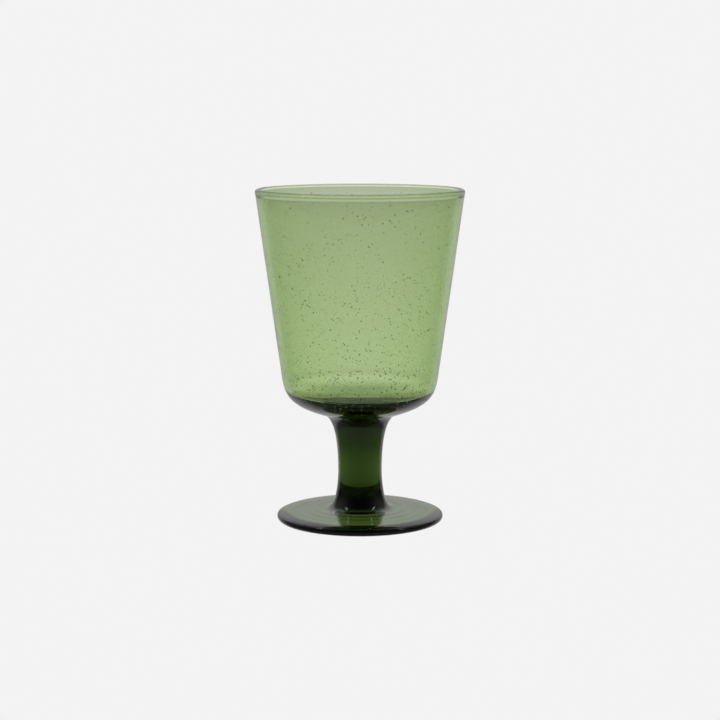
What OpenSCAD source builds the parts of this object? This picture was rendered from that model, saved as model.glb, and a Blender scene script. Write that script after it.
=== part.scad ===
// Wine goblet in green glass, with a seeded bowl on a short solid stem and a round foot.
// It is three gathers of glass fused hot, so its pieces meet on flat faces with no play.
// The origin is the middle of the foot's resting face and +Z runs up the axis.

/* [Overall] */
// Height from the resting face to the top of the lip
height = 135; // [130:0.5:140]
// Diameter across the outside of the lip
lip_d = 84.4; // [82:0.2:88]
// Diameter across the outside of the foot
foot_d = 67.8; // [62:0.2:74]

/* [Bowl] */
// Thickness of the bead round the lip
bead_t = 2.4; // [2.2:0.1:2.8]
// Thickness of the wall just under the bead
wall_t = 2.1; // [1.8:0.1:2.2]
// Thickness of the wall at the bottom of the straight side
low_wall_t = 2.4; // [2:0.1:2.8]
// Lean of the straight side away from upright, in degrees
side_lean = 7.9; // [7:0.1:9]
// Height at which the outside turns in under the bowl
turn_z = 59.3; // [58:0.1:61]
// Height at which the inside turns in towards the drinking floor
inner_turn_z = 57; // [56:0.1:58]
// Height of the middle of the drinking floor, which is gently domed
floor_z = 50; // [48.5:0.5:51]
// Slope of the underside where it reaches the stem, in degrees
under_slope = 17; // [14:1:20]

/* [Stem] */
// Height of the fused face between bowl and stem
neck_z = 44; // [43:0.5:45]
// Diameter of that fused face
neck_d = 32; // [30:0.2:34]
// Diameter of the stem at its waist
waist_d = 17.8; // [16:0.1:20]
// Height of the waist
waist_z = 20; // [17:0.5:23]
// Diameter of the fused face between stem and foot
base_d = 26; // [25:0.2:28]

/* [Foot] */
// Height of the foot's top where the stem stands
foot_top = 5.1; // [4.9:0.1:5.5]
// Height of the foot's top just inside its rounded edge
foot_t = 3.4; // [3.2:0.1:3.6]
// Width of the rounding round the foot's edge
edge_w = 2; // [1.9:0.1:2.4]
// Rise of the shallow dome in the middle of the underside
dome_rise = 1.4; // [1:0.1:1.8]
// Diameter at which the underside leaves the table, inside the ring that the foot rests on
rest_in_d = 57; // [55:0.5:59]

/* [Hidden] */
bowl_green = [0.47, 0.58, 0.36, 0.5];
stem_green = [0.17, 0.24, 0.10, 0.85];
foot_green = [0.40, 0.50, 0.30, 0.6];
// Faces round the axis, and steps along a long and a short curved stretch of an outline
round_n = 96;
long_n = 20;
short_n = 8;
// Pull that makes a curve follow a quarter of a circle of radius 1
quarter = 0.5523;
// Directions up the side of the bowl and square out from it
up_side = [sin(side_lean), cos(side_lean)];
off_side = [cos(side_lean), -sin(side_lean)];
// Lip: a round bead that stands a little proud of both faces of the wall
bead_r = bead_t / 2;
bead_c = [lip_d / 2 - bead_r, height - bead_r];
bead_out = bead_c + bead_r * off_side;
bead_in = bead_c - bead_r * off_side;
bead_top = [bead_c[0], height];
bead_pull = quarter * bead_r;
proud = 0.1;
bead_blend = 2.2;
blend_pull = 0.7;
wall_out = bead_out - proud * off_side - bead_blend * up_side;
wall_in = wall_out - wall_t * off_side;
// Turns: where the straight faces of the side give way to the curves under them
outer_turn = wall_out - (wall_out[1] - turn_z) / up_side[1] * up_side;
low_in = outer_turn - low_wall_t * off_side;
inner_turn = low_in - (low_in[1] - inner_turn_z) / up_side[1] * up_side;
turn_pull = 8;
inner_turn_pull = 5.5;
// Floor: its curve runs under a dip near the wall and up to the low dome in the middle
floor_dip = [25, floor_z - 1.8];
// Fused faces, the waist between them, and how the outline runs through them
neck_edge = [neck_d / 2, neck_z];
under_dir = [cos(under_slope), sin(under_slope)];
under_pull = 13;
neck_pull = 2.5;
waist = [waist_d / 2, waist_z];
waist_pull_up = 22;
waist_pull_down = 1;
base_edge = [base_d / 2, foot_top];
base_pull = 3.8;
skirt_slope = 10;
skirt_dir = [cos(skirt_slope), -sin(skirt_slope)];
// Foot: a shallow cone that sweeps up to the stem, rolls over to a rounded edge, and has
// a tighter rounding, a flat ring to rest on and a low dome under it
foot_r = foot_d / 2;
shoulder = [foot_r - edge_w, foot_t];
roll_slope = 16;
roll_dir = [cos(roll_slope), -sin(roll_slope)];
roll_pull = 1.2;
roll_start = shoulder + [-2.9, 0.55];
skirt_end = base_edge + [5.5, -0.35];
skirt_pull_out = 2;
skirt_pull_in = 2.5;
cone_dir = (roll_start - skirt_end) / norm(roll_start - skirt_end);
shoulder_pull = 1.1;
under_r = 1.8;
under_r_pull = quarter * under_r;
edge_rise = 0.6 * (foot_t - under_r);
rest_in = [rest_in_d / 2, 0];
dome_slope = 6;
dome_dir = [cos(dome_slope), -sin(dome_slope)];
dome_pull_mid = 12;
dome_pull_out = 9;

// Points of a smooth curve from a to d that leaves towards b and arrives from c
function curve(a, b, c, d, n) =
    [for (i = [0:n]) let (t = i / n, s = 1 - t)
        s * s * s * a + 3 * s * s * t * b + 3 * s * t * t * c + t * t * t * d];

// Solid turned about the axis from its outline
module turned(outline) {
    rotate_extrude($fn = round_n) polygon(outline);
}

// Bowl: blown cup with a beaded lip, a straight flaring side and a thick solid floor
module bowl() {
    under = curve(neck_edge, neck_edge + under_pull * under_dir,
                  outer_turn - turn_pull * up_side, outer_turn, long_n);
    bead_foot_out = curve(wall_out, wall_out + blend_pull * up_side,
                          bead_out - blend_pull * up_side, bead_out, short_n);
    bead_over_out = curve(bead_out, bead_out + bead_pull * up_side,
                          bead_top + [bead_pull, 0], bead_top, short_n);
    bead_over_in = curve(bead_top, bead_top - [bead_pull, 0],
                         bead_in + bead_pull * up_side, bead_in, short_n);
    bead_foot_in = curve(bead_in, bead_in - blend_pull * up_side,
                         wall_in + blend_pull * up_side, wall_in, short_n);
    floor = curve(inner_turn, inner_turn - inner_turn_pull * up_side,
                  floor_dip, [0, floor_z], long_n);
    color(bowl_green) turned(concat([[0, neck_z]], under, bead_foot_out, bead_over_out,
                                    bead_over_in, bead_foot_in, floor));
}

// Stem: solid drawn gather, flaring up into the bowl and down onto the foot
module stem() {
    base = curve(base_edge, base_edge - base_pull * skirt_dir,
                 waist - [0, waist_pull_down], waist, long_n);
    neck = curve(waist, waist + [0, waist_pull_up],
                 neck_edge - neck_pull * under_dir, neck_edge, long_n);
    color(stem_green) turned(concat([[0, foot_top]], base, neck, [[0, neck_z]]));
}

// Foot: opened disc with a low cone on top, a rounded edge and a slightly domed underside
module foot() {
    dome = curve([0, dome_rise], [dome_pull_mid, dome_rise],
                 rest_in - dome_pull_out * dome_dir, rest_in, long_n);
    edge_under = curve([foot_r - under_r, 0], [foot_r - under_r + under_r_pull, 0],
                       [foot_r, under_r - under_r_pull], [foot_r, under_r], short_n);
    edge_over = curve([foot_r, under_r], [foot_r, under_r + edge_rise],
                      shoulder + shoulder_pull * roll_dir, shoulder, short_n);
    roll = curve(shoulder, shoulder - roll_pull * roll_dir,
                 roll_start + roll_pull * cone_dir, roll_start, short_n);
    skirt = curve(skirt_end, skirt_end - skirt_pull_in * cone_dir,
                  base_edge + skirt_pull_out * skirt_dir, base_edge, short_n);
    color(foot_green) turned(concat(dome, edge_under, edge_over, roll, skirt, [[0, foot_top]]));
}

bowl();
stem();
foot();
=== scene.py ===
import math
import random

import bmesh
import bpy
from mathutils import Matrix, Vector


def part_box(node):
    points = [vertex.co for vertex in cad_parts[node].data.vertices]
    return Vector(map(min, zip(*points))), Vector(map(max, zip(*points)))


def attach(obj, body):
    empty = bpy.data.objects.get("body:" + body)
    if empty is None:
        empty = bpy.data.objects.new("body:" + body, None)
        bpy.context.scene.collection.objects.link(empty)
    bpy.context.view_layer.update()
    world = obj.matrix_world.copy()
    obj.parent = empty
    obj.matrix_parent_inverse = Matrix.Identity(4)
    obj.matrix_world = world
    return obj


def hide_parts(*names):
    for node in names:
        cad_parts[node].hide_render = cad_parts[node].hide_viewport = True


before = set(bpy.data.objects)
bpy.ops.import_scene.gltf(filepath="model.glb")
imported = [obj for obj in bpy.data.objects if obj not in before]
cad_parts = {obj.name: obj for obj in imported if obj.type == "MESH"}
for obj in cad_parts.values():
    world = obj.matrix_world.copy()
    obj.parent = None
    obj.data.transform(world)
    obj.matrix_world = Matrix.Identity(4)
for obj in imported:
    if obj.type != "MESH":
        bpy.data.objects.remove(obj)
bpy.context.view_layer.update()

# ---------------------------------------------------------------- bowl
# The bowl is blown from a first gather of green glass. Its lip is fire-polished to a soft
# bead, its side is a straight flaring wall full of fine seeds, and the glass that settled
# at the bottom makes a thick floor, fused to the stem below.

mm = 0.001
round_steps = 192
long_steps = 48
short_steps = 10
straight_steps = 12
quarter_circle = 0.5523
fuse_gap = 0.01 * mm


def curve(start, leave, arrive, end, steps):
    """Points of a smooth curve that leaves start towards one pull and reaches end from another."""
    points = []
    for step in range(steps + 1):
        t = step / steps
        s = 1 - t
        points.append(s**3 * start + 3 * s * s * t * leave + 3 * s * t * t * arrive + t**3 * end)
    return points


def straight(start, end, steps):
    """Points between start and end, leaving both out."""
    return [start.lerp(end, step / steps) for step in range(1, steps)]


def turned(outline, fused):
    """A closed bmesh: the outline spun about the axis. fused gives each fused face's height
    and how far it draws back, so that the two faces of a join never share one plane."""
    shape = bmesh.new()
    corners = [shape.verts.new((point.x, 0, point.y)) for point in outline]
    sides = [shape.edges.new(pair) for pair in zip(corners, corners[1:])]
    bmesh.ops.spin(shape, geom=corners + sides, cent=(0, 0, 0), axis=(0, 0, 1),
                   angle=math.tau, steps=round_steps, use_merge=True)
    bmesh.ops.remove_doubles(shape, verts=shape.verts, dist=0.0001 * mm)
    bmesh.ops.recalc_face_normals(shape, faces=shape.faces)
    mark = shape.faces.layers.float.new("fused")
    for face in shape.faces:
        face.smooth = True
    for height, draw_back in fused.items():
        ring = [v for v in shape.verts if abs(v.co.z - height) < 0.001 * mm]
        level = set(ring)
        for face in {face for vert in ring for face in vert.link_faces}:
            if all(vert in level for vert in face.verts):
                face[mark] = 1
                face.smooth = False
        bmesh.ops.translate(shape, verts=ring, vec=(0, 0, draw_back))
    for edge in shape.edges:
        if len({face[mark] for face in edge.link_faces}) > 1:
            edge.smooth = False
    return shape


def piece(name, shape, material):
    """The bmesh as a finished object at the origin."""
    mesh = bpy.data.meshes.new(name)
    shape.to_mesh(mesh)
    shape.free()
    mesh.materials.append(material)
    made = bpy.data.objects.new(name, mesh)
    bpy.context.scene.collection.objects.link(made)
    return made


def add_node(tree, kind, feeds=None, **settings):
    """A node with its settings. feeds gives each input a plain value or the socket behind it."""
    made = tree.nodes.new(kind)
    for key, value in settings.items():
        setattr(made, key, value)
    for key, value in (feeds or {}).items():
        if isinstance(value, bpy.types.NodeSocket):
            tree.links.new(value, made.inputs[key])
        else:
            made.inputs[key].default_value = value
    return made


def hot_worked_group():
    """What hand work leaves on hot glass: slow waves, fine pull marks and a little haze.
    Wave and Pull are sizes in metres, and Draw stretches the marks along the axis."""
    group = bpy.data.node_groups.new("hot_worked", "ShaderNodeTree")
    for name in ("Wave", "Pull", "Draw", "Pull Share"):
        group.interface.new_socket(name, in_out="INPUT", socket_type="NodeSocketFloat")
    for name in ("Height", "Haze"):
        group.interface.new_socket(name, in_out="OUTPUT", socket_type="NodeSocketFloat")
    given = add_node(group, "NodeGroupInput").outputs
    place = add_node(group, "ShaderNodeTexCoord").outputs["Object"]
    axis_scale = add_node(group, "ShaderNodeMath", {0: 1.0, 1: given["Draw"]}, operation="DIVIDE")
    drawn = add_node(group, "ShaderNodeCombineXYZ",
                     {"X": 1.0, "Y": 1.0, "Z": axis_scale.outputs[0]})
    pulled = add_node(group, "ShaderNodeVectorMath", {0: place, 1: drawn.outputs[0]},
                      operation="MULTIPLY").outputs[0]
    wave_scale = add_node(group, "ShaderNodeMath", {0: 1.0, 1: given["Wave"]}, operation="DIVIDE")
    waves = add_node(group, "ShaderNodeTexNoise",
                     {"Vector": place, "Scale": wave_scale.outputs[0], "Detail": 1.0})
    pull_scale = add_node(group, "ShaderNodeMath", {0: 1.0, 1: given["Pull"]}, operation="DIVIDE")
    marks = add_node(group, "ShaderNodeTexNoise",
                     {"Vector": pulled, "Scale": pull_scale.outputs[0], "Detail": 2.0})
    height = add_node(group, "ShaderNodeMath",
                      {0: marks.outputs["Fac"], 1: given["Pull Share"], 2: waves.outputs["Fac"]},
                      operation="MULTIPLY_ADD")
    haze = add_node(group, "ShaderNodeMapRange",
                    {"Value": marks.outputs["Fac"], "From Min": 0.45, "From Max": 0.8})
    add_node(group, "NodeGroupOutput",
             {"Height": height.outputs[0], "Haze": haze.outputs["Result"]})
    return group


hot_worked = hot_worked_group()


def green_glass(name, absorbed, wave, pull, draw, pull_share, depth, haze, tint=(1, 1, 1, 1)):
    """Glass coloured right through. absorbed is the red, green and blue light lost per metre,
    depth is how deep the waves are, haze is the roughest that the skin gets, and tint is what
    the skin itself lets by. Where two pieces are fused, no surface is left between them, so
    light goes straight on."""
    made = bpy.data.materials.new(name)
    made.use_nodes = True
    tree = made.node_tree
    surface = tree.nodes["Principled BSDF"]
    # tint darkens what the skin lets by; on the seeds it is painted shade
    surface.inputs["Base Color"].default_value = tint
    surface.inputs["Transmission Weight"].default_value = 1
    worked = add_node(tree, "ShaderNodeGroup",
                      {"Wave": wave, "Pull": pull, "Draw": draw, "Pull Share": pull_share},
                      node_tree=hot_worked)
    skin = add_node(tree, "ShaderNodeBump",
                    {"Strength": 1.0, "Distance": depth, "Height": worked.outputs["Height"]})
    tree.links.new(skin.outputs["Normal"], surface.inputs["Normal"])
    rough = add_node(tree, "ShaderNodeMapRange",
                     {"Value": worked.outputs["Haze"], "To Min": 0.0, "To Max": haze})
    tree.links.new(rough.outputs["Result"], surface.inputs["Roughness"])
    fused = add_node(tree, "ShaderNodeAttribute", attribute_name="fused")
    bend = add_node(tree, "ShaderNodeMapRange",
                    {"Value": fused.outputs["Fac"], "To Min": 1.5, "To Max": 1.0})
    tree.links.new(bend.outputs["Result"], surface.inputs["IOR"])
    strongest = max(absorbed)
    body = add_node(tree, "ShaderNodeVolumeAbsorption",
                    {"Color": [1 - loss / strongest for loss in absorbed] + [1],
                     "Density": strongest})
    tree.links.new(body.outputs["Volume"], tree.nodes["Material Output"].inputs["Volume"])
    return made


neck_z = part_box("bowl")[0].z
top_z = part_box("bowl")[1].z
lip_r = 42.2 * mm
wall_t = 2.1 * mm
low_wall_t = 2.4 * mm
outer_turn_z = 59.3 * mm
inner_turn_z = 57 * mm
lean = math.radians(7.9)
up_side = Vector((math.sin(lean), math.cos(lean)))
off_side = Vector((math.cos(lean), -math.sin(lean)))

bead_r = 1.2 * mm
bead_pull = quarter_circle * bead_r
bead_mid = Vector((lip_r - bead_r, top_z - bead_r))
bead_out = bead_mid + bead_r * off_side
bead_in = bead_mid - bead_r * off_side
bead_top = Vector((bead_mid.x, top_z))
over = Vector((bead_pull, 0))
proud = 0.1 * mm
bead_blend = 2.2 * mm * up_side
blend_pull = 0.7 * mm * up_side
wall_out = bead_out - proud * off_side - bead_blend
wall_in = wall_out - wall_t * off_side

outer_turn = wall_out - (wall_out.y - outer_turn_z) / up_side.y * up_side
low_in = outer_turn - low_wall_t * off_side
inner_turn = low_in - (low_in.y - inner_turn_z) / up_side.y * up_side
floor_mid = Vector((0, 50 * mm))
floor_dip = Vector((25 * mm, floor_mid.y - 1.8 * mm))
neck_edge = Vector((16 * mm, neck_z))
under_slope = math.radians(17)
under_dir = Vector((math.cos(under_slope), math.sin(under_slope)))

under = curve(neck_edge, neck_edge + 13 * mm * under_dir, outer_turn - 8 * mm * up_side,
              outer_turn, long_steps)
floor_inside = curve(inner_turn, inner_turn - 5.5 * mm * up_side, floor_dip, floor_mid,
                     long_steps)
bowl_outline = [
    Vector((0, neck_z)), *under, *straight(outer_turn, wall_out, straight_steps),
    *curve(wall_out, wall_out + blend_pull, bead_out - blend_pull, bead_out, short_steps),
    *curve(bead_out, bead_out + bead_pull * up_side, bead_top + over, bead_top, short_steps)[1:],
    *curve(bead_top, bead_top - over, bead_in + bead_pull * up_side, bead_in, short_steps)[1:],
    *curve(bead_in, bead_in - blend_pull, wall_in + blend_pull, wall_in, short_steps)[1:],
    *straight(wall_in, inner_turn, straight_steps), *floor_inside,
]
bowl_shape = turned(bowl_outline, {neck_z: fuse_gap})

# Seeds: fine gas bubbles caught in the wall, drawn a little upwards, thickest low down.
# Those in the wall have a skin darkened by painted shade, so that they show as dark specks,
# and those in the dark floor a clear one that glints.
random.seed(24)
wall_seeds = 1500
floor_seeds = 360
clear_skin = 0
# the seeds whose skin carries the painted shade
painted_shade_skin = 1
bubble_mesh = bpy.data.meshes.new("bubble")


def seed(where, size, draw, skin):
    """One bubble of radius size. where is its distance from the axis and its height."""
    bubble = bmesh.new()
    turn = Matrix.Rotation(random.uniform(0, math.tau), 4, "Z")
    tilt = Matrix.Rotation(lean, 4, "Y")
    place = turn @ Matrix.Translation((where.x, 0, where.y)) @ tilt
    bmesh.ops.create_uvsphere(bubble, u_segments=6, v_segments=4, radius=size,
                              matrix=place @ Matrix.Diagonal((1, 1, draw, 1)))
    bmesh.ops.reverse_faces(bubble, faces=bubble.faces)
    for face in bubble.faces:
        face.smooth = True
        face.material_index = skin
    bubble.to_mesh(bubble_mesh)
    bubble.free()
    bowl_shape.from_mesh(bubble_mesh)


for _ in range(wall_seeds):
    up = random.random() ** 1.25
    outside = outer_turn.lerp(wall_out, up)
    inside = inner_turn.lerp(wall_in, up)
    size = min(0.32, 0.13 + random.expovariate(22)) * mm
    middle = outside.lerp(inside, random.uniform(0.3, 0.7))
    seed(middle, size, random.uniform(1.0, 1.2), painted_shade_skin)
for _ in range(floor_seeds):
    step = int(long_steps * math.sqrt(random.random()))
    middle = under[step].lerp(floor_inside[long_steps - step], random.uniform(0.08, 0.92))
    seed(middle, random.uniform(0.18, 0.38) * mm, 1.0, clear_skin)

gather = {"absorbed": (198, 140, 295), "wave": 16 * mm, "pull": 5 * mm, "draw": 0.6,
          "pull_share": 0.25, "haze": 0.02}
bowl_glass = green_glass("bowl_glass", depth=0.05 * mm, **gather)
bowl = piece("blown_bowl", bowl_shape, bowl_glass)
# The seeds' darker green skin tint is painted shade, for the dark that bubbles show
seed_shade_glass = green_glass("seed_skin_painted_shade", depth=0.0, tint=(0.62, 0.67, 0.52, 1), **gather)
bowl.data.materials.append(seed_shade_glass)
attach(bowl, "root")
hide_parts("bowl")

# ---------------------------------------------------------------- stem
# The stem is a second gather, solid, fused to the bottom of the bowl and drawn out while
# hot. It flares up under the bowl and down onto the foot, and the pull leaves long faint
# cords in its skin.

foot_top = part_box("stem")[0].z
waist = Vector((8.9 * mm, 20 * mm))
base_edge = Vector((13 * mm, foot_top))
skirt_slope = math.radians(10)
skirt_dir = Vector((math.cos(skirt_slope), -math.sin(skirt_slope)))
stem_outline = [
    Vector((0, foot_top)),
    *curve(base_edge, base_edge - 3.8 * mm * skirt_dir, waist - Vector((0, 1 * mm)), waist,
           long_steps),
    *curve(waist, waist + Vector((0, 22 * mm)), neck_edge - 2.5 * mm * under_dir, neck_edge,
           long_steps)[1:],
    Vector((0, neck_z)),
]
stem_shape = turned(stem_outline, {foot_top: fuse_gap, neck_z: -fuse_gap})
stem_glass = green_glass("stem_glass", absorbed=(224, 182, 310), wave=9 * mm, pull=1.6 * mm,
                         draw=14, pull_share=0.3, depth=0.05 * mm, haze=0.05)
stem = piece("drawn_stem", stem_shape, stem_glass)
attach(stem, "root")
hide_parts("stem")

# ---------------------------------------------------------------- foot
# The foot is a third gather, dropped under the stem and opened out to a shallow cone with a
# paddle as the glass turned. The paddle leaves faint rings on its top, the edge is
# fire-polished round, and the underside is a low dome inside the ring that it rests on.

foot_r = 33.9 * mm
foot_t = 3.4 * mm
shoulder = Vector((foot_r - 2 * mm, foot_t))
roll_slope = math.radians(16)
roll_dir = Vector((math.cos(roll_slope), -math.sin(roll_slope)))
skirt_end = base_edge + Vector((5.5 * mm, -0.35 * mm))
roll_start = shoulder + Vector((-2.9 * mm, 0.55 * mm))
cone_dir = (roll_start - skirt_end).normalized()
dome_mid = Vector((0, 1.4 * mm))
rest_in = Vector((28.5 * mm, 0))
dome_slope = math.radians(6)
dome_dir = Vector((math.cos(dome_slope), -math.sin(dome_slope)))
under_r = 1.8 * mm
under_pull = quarter_circle * under_r
edge_rise = 0.6 * (foot_t - under_r)
ring_height = 0.018 * mm
edge_steps = 12
roll_steps = 16
cone_steps = 40
skirt_steps = 24


def paddle_rings(points):
    """The foot's top with the faint rings of the paddle, none at either end."""
    ringed = []
    for point in points:
        across = (point.x - base_edge.x) / (shoulder.x - base_edge.x)
        share = math.sin(math.pi * across)
        wave = math.sin(across * 31) + 0.6 * math.sin(across * 53 + 1)
        ringed.append(point + Vector((0, ring_height * share * wave)))
    return ringed


foot_outline = [
    *curve(dome_mid, dome_mid + Vector((12 * mm, 0)), rest_in - 9 * mm * dome_dir, rest_in,
           long_steps),
    *curve(Vector((foot_r - under_r, 0)), Vector((foot_r - under_r + under_pull, 0)),
           Vector((foot_r, under_r - under_pull)), Vector((foot_r, under_r)), edge_steps),
    *curve(Vector((foot_r, under_r)), Vector((foot_r, under_r + edge_rise)),
           shoulder + 1.1 * mm * roll_dir, shoulder, roll_steps)[1:],
    *paddle_rings(
        curve(shoulder, shoulder - 1.2 * mm * roll_dir, roll_start + 1.2 * mm * cone_dir,
              roll_start, roll_steps)[1:]
        + straight(roll_start, skirt_end, cone_steps)
        + curve(skirt_end, skirt_end - 2.5 * mm * cone_dir, base_edge + 2 * mm * skirt_dir,
                base_edge, skirt_steps)[:-1]),
    base_edge, Vector((0, foot_top)),
]
foot_shape = turned(foot_outline, {foot_top: -fuse_gap})
foot_glass = green_glass("foot_glass", absorbed=(200, 155, 275), wave=14 * mm, pull=4 * mm,
                         draw=1, pull_share=0.12, depth=0.04 * mm, haze=0.04)
foot = piece("opened_foot", foot_shape, foot_glass)
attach(foot, "root")
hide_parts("foot")

# ---------------------------------------------------------------- stage
# A pale table that runs into a pale backdrop with no horizon. The glass is lit from behind,
# as coloured glass is, with the room dim on the near side, and two strip lights high at the
# sides leave thin lines at the bottom of the stem and on the foot.

scene = bpy.context.scene
scene.view_settings.view_transform = "Standard"
pale = 0.896


def glowing(name, strength, tint=(1, 1, 1, 1)):
    """A plain surface that shows one even brightness from above and is clear from below."""
    made = bpy.data.materials.new(name)
    made.use_nodes = True
    tree = made.node_tree
    tree.nodes.remove(tree.nodes["Principled BSDF"])
    light = add_node(tree, "ShaderNodeEmission", {"Strength": strength, "Color": tint})
    clear = add_node(tree, "ShaderNodeBsdfTransparent")
    below = add_node(tree, "ShaderNodeNewGeometry").outputs["Backfacing"]
    shown = add_node(tree, "ShaderNodeMixShader",
                     {0: below, 1: light.outputs[0], 2: clear.outputs[0]})
    tree.links.new(shown.outputs[0], tree.nodes["Material Output"].inputs["Surface"])
    return made


# The table shows to the camera only, just under the foot
table_shape = bmesh.new()
bmesh.ops.create_grid(table_shape, x_segments=1, y_segments=1, size=3,
                      matrix=Matrix.Translation((0, 0, -0.5 * mm)))
table = piece("table", table_shape, glowing("table_top", pale))
for kind in ("glossy", "transmission", "diffuse", "shadow", "volume_scatter"):
    setattr(table, "visible_" + kind, False)

# A painted green shadow of the glass on the table: a glowing disc under the foot, seen only
# through it
shade_shape = bmesh.new()
bmesh.ops.create_circle(shade_shape, cap_ends=True, segments=96, radius=foot_r - 1.0 * mm,
                        matrix=Matrix.Translation((0, 0, -0.3 * mm)))
shade = piece("shade_under_foot", shade_shape, glowing("shaded_table", 0.34, (0.45, 0.6, 0.2, 1)))
for kind in ("camera", "glossy", "diffuse", "shadow", "volume_scatter"):
    setattr(shade, "visible_" + kind, False)

world = bpy.data.worlds.new("room")
scene.world = world
world.use_nodes = True
sky = world.node_tree
direction = add_node(sky, "ShaderNodeTexCoord").outputs["Generated"]
toward = add_node(sky, "ShaderNodeSeparateXYZ", {0: direction}).outputs


def fade(value, start, end, low=0.0, high=1.0):
    """A smooth step of one direction, from low at start to high at end."""
    return add_node(sky, "ShaderNodeMapRange",
                    {"Value": value, "From Min": start, "From Max": end,
                     "To Min": low, "To Max": high},
                    interpolation_type="SMOOTHSTEP").outputs["Result"]


def times(first, second):
    """Two brightnesses multiplied."""
    return add_node(sky, "ShaderNodeMath", {0: first, 1: second}, operation="MULTIPLY").outputs[0]


def plus(first, second):
    """Two brightnesses added."""
    return add_node(sky, "ShaderNodeMath", {0: first, 1: second}, operation="ADD").outputs[0]


def brighter(first, second):
    """The brighter of two."""
    return add_node(sky, "ShaderNodeMath", {0: first, 1: second}, operation="MAXIMUM").outputs[0]


across = add_node(sky, "ShaderNodeCombineXYZ", {"X": toward["X"], "Y": toward["Y"]}).outputs[0]
level = add_node(sky, "ShaderNodeVectorMath", {0: across}, operation="NORMALIZE").outputs[0]
behind = add_node(sky, "ShaderNodeSeparateXYZ", {0: level}).outputs["Y"]

# What is seen through the glass, and then what it mirrors
through = times(times(fade(toward["Z"], -0.6, -0.18, 0.6, 1.0),
                      fade(toward["Z"], 0.9, 0.5, 0.8, 1.0)),
                fade(toward["Z"], -0.02, -0.18, 0.66, 1.12))
backdrop = times(times(fade(behind, 0.45, 0.8), fade(toward["Z"], -0.97, -0.6)),
                 fade(toward["Z"], -0.1, 0.65, 0.45, 1.05))
near_table = times(fade(toward["Z"], 0.0, -0.1), fade(toward["Z"], -0.7, -0.3, 0.22, 0.12))
dim_sides = times(fade(toward["Z"], -0.1, 0.3), fade(behind, -1.0, 0.3, 0.03, 0.3))
overhead = times(fade(toward["Z"], 0.4, 0.65, 0.0, 0.6), fade(toward["Y"], -0.1, 0.3))
low_room = plus(backdrop, near_table)
mirrored = brighter(brighter(low_room, dim_sides), overhead)
ray = add_node(sky, "ShaderNodeLightPath").outputs
unseen = add_node(sky, "ShaderNodeMix",
                  {"Factor": ray["Is Reflection Ray"], "A": through,
                   "B": mirrored}).outputs["Result"]
seen = add_node(sky, "ShaderNodeMix",
                {"Factor": ray["Is Camera Ray"], "A": unseen, "B": pale}).outputs["Result"]
sky.links.new(seen, sky.nodes["Background"].inputs["Strength"])
sky.nodes["Background"].inputs["Color"].default_value = (1, 1, 1, 1)

for side in (-1, 1):
    softbox_data = bpy.data.lights.new("softbox", "AREA")
    softbox_data.shape = "RECTANGLE"
    softbox_data.size = 0.12
    softbox_data.size_y = 0.4
    softbox_data.energy = 0.5
    softbox = bpy.data.objects.new("softbox", softbox_data)
    scene.collection.objects.link(softbox)
    softbox.location = (side * 0.7, -0.25, 0.75)
    softbox.rotation_euler = (-softbox.location).to_track_quat("-Z", "Y").to_euler()
    softbox.visible_camera = False
    softbox.visible_transmission = False

camera_data = bpy.data.cameras.new("camera")
camera_data.lens = 98.7
camera_data.sensor_width = 36
camera = bpy.data.objects.new("camera", camera_data)
scene.collection.objects.link(camera)
scene.camera = camera
look_down = math.radians(8.08)
distance = 0.801
aim = Vector((0, 0, 0.0657))
camera.location = aim + distance * Vector((0, -math.cos(look_down), math.sin(look_down)))
camera.rotation_euler = (math.pi / 2 - look_down, 0, 0)

scene.cycles.max_bounces = 24
scene.cycles.transmission_bounces = 24
scene.cycles.transparent_max_bounces = 24
scene.cycles.volume_bounces = 4
scene.cycles.use_denoising = True
